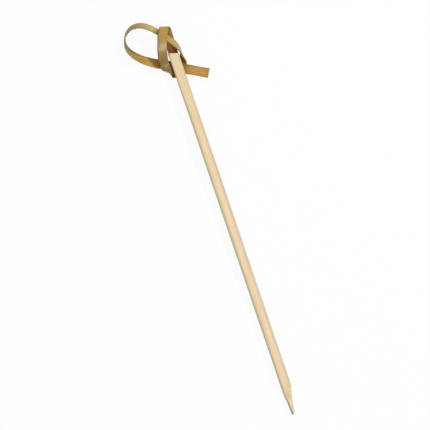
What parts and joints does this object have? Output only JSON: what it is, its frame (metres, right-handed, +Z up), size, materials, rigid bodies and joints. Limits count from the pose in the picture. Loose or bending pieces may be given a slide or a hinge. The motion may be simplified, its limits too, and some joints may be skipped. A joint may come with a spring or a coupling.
{
  "type": "cocktail pick",
  "caption": "Flat split-bamboo pick with a knife-cut point, its skin drawn past the shoulder as a strip tied in a knot with an open side loop and short tail",
  "frame": {"origin": "centre of the bounding box, on the surface that the pick lies on", "axes": "+Z up, the stick's pale flat front facing up; +Y along the pick from the point to the knot; +X to the right, the tail's side"},
  "size_m": [0.0214, 0.1216, 0.0066],
  "materials": {
    "bamboo": "satin"
  },
  "bodies": {
    "root": {"knotted_pick": "bamboo"}
  },
  "joints": []
}
